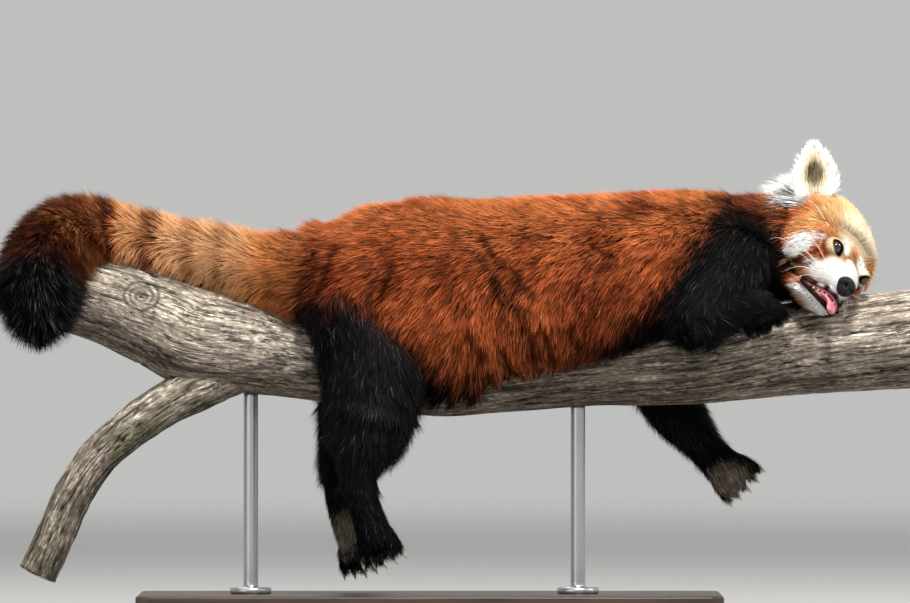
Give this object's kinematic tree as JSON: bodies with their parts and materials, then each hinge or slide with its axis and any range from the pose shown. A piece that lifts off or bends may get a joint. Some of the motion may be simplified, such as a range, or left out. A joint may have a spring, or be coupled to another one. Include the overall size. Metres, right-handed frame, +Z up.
{
  "type": "red panda",
  "caption": "Life-size red panda lying along a forked branch with its legs hanging and its mouth open, held by a flat stand.",
  "frame": {"origin": "middle of the underside of the stand's board", "axes": "+X along the branch towards the head, +Y to the animal's left, +Z up"},
  "size_m": [0.8946, 0.25, 0.4555],
  "materials": {
    "fur_rust": "long, coarse, rust-red coat",
    "fur_dark_rust": "long, dark red-brown coat",
    "fur_orange": "long, orange-brown coat",
    "fur_black": "dense black coat with brown tips",
    "fur_white": "short white coat",
    "nose_leather": "moist, finely grained",
    "eye": "clear and wet",
    "tongue_flesh": "moist",
    "weathered_wood": "bare, grey, cracked along the grain",
    "board_wood": "dark stain, satin",
    "rod_steel": "brushed"
  },
  "bodies": {
    "root": {"head": "fur_orange", "jaw": "fur_white", "ear_right": "fur_white", "ear_left": "fur_white", "neck": "fur_rust", "torso": "fur_rust", "tail_base": "fur_orange", "tail_middle": "fur_orange", "tail_bend": "fur_dark_rust", "tail_tip": "fur_black", "thigh_right": "fur_black", "shin_right": "fur_black", "hindfoot_right": "fur_black", "thigh_left": "fur_black", "shin_left": "fur_black", "hindfoot_left": "fur_black", "arm_right": "fur_black", "forearm_right": "fur_black", "forepaw_right": "fur_black", "arm_left": "fur_black", "forearm_left": "fur_black", "forepaw_left": "fur_black", "nose": "nose_leather", "eye_right": "eye", "eye_left": "eye", "tongue": "tongue_flesh", "perch_branch": "weathered_wood", "perch_fork": "weathered_wood", "stand_board": "board_wood", "stand_rod_1": "rod_steel", "stand_rod_2": "rod_steel"}
  },
  "joints": []
}
